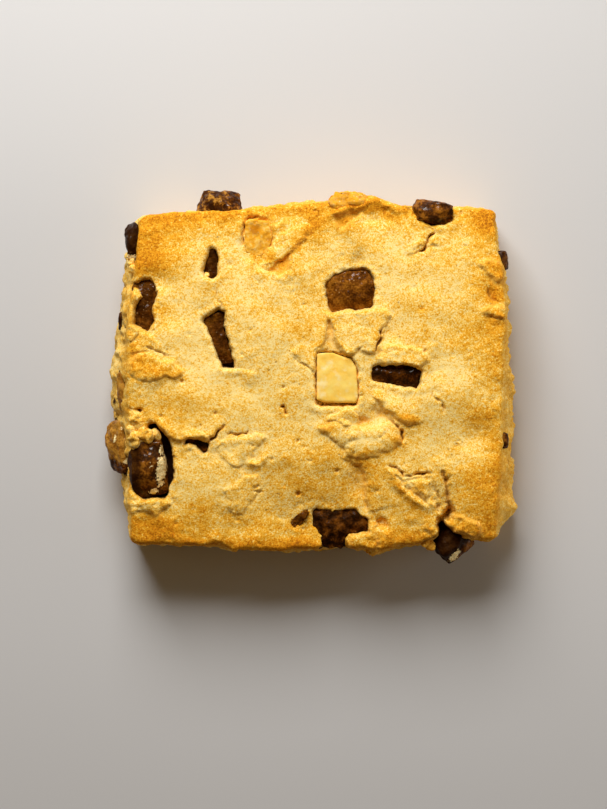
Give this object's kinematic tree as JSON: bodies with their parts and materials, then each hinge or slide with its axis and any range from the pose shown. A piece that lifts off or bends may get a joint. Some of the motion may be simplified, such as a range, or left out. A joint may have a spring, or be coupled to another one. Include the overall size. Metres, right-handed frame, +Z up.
{
  "type": "shortbread",
  "caption": "Thick square-cut shortbread biscuit with a folded golden crust and dark, milk and white chocolate chunks baked into its top and sides.",
  "frame": {"origin": "centre of the flat base, below the middle of the bounding box", "axes": "+X along the longer side, towards the side with the small corner chunk at the back; +Y to the back edge; +Z up out of the crust"},
  "size_m": [0.0842, 0.0755, 0.0198],
  "materials": {
    "baked_dough": "matt baked shortbread dough, pale golden in the middle and browned at the corners and edges",
    "milk_chocolate": "milk chocolate, satin, with melted and dusty patches",
    "dark_chocolate": "dark chocolate, glossy where it has melted",
    "white_chocolate": "white chocolate, satin, pale yellow",
    "browned_chocolate": "white chocolate browned by the oven, matt"
  },
  "bodies": {
    "root": {"dough": "baked_dough", "chunk_milk_square": "milk_chocolate", "chunk_white_square": "white_chocolate", "chunk_dark_oblong": "dark_chocolate", "chunk_milk_splinter": "milk_chocolate", "chunk_milk_sliver": "milk_chocolate", "chunk_milk_left_edge": "milk_chocolate", "chunk_dark_glimpse": "dark_chocolate", "chunk_dark_front_edge": "dark_chocolate", "chunk_milk_front_sliver": "milk_chocolate", "chunk_white_browned": "browned_chocolate", "chunk_milk_large": "milk_chocolate", "chunk_dark_left_wall": "dark_chocolate", "chunk_milk_left_wall": "milk_chocolate", "chunk_milk_left_seam": "milk_chocolate", "chunk_dark_left_speck": "dark_chocolate", "chunk_milk_back_wall": "milk_chocolate", "chunk_milk_back_corner": "milk_chocolate", "chunk_white_back_browned": "browned_chocolate", "chunk_milk_right_wall": "milk_chocolate", "chunk_milk_right_speck": "milk_chocolate", "chunk_dark_front_corner": "dark_chocolate"}
  },
  "joints": []
}
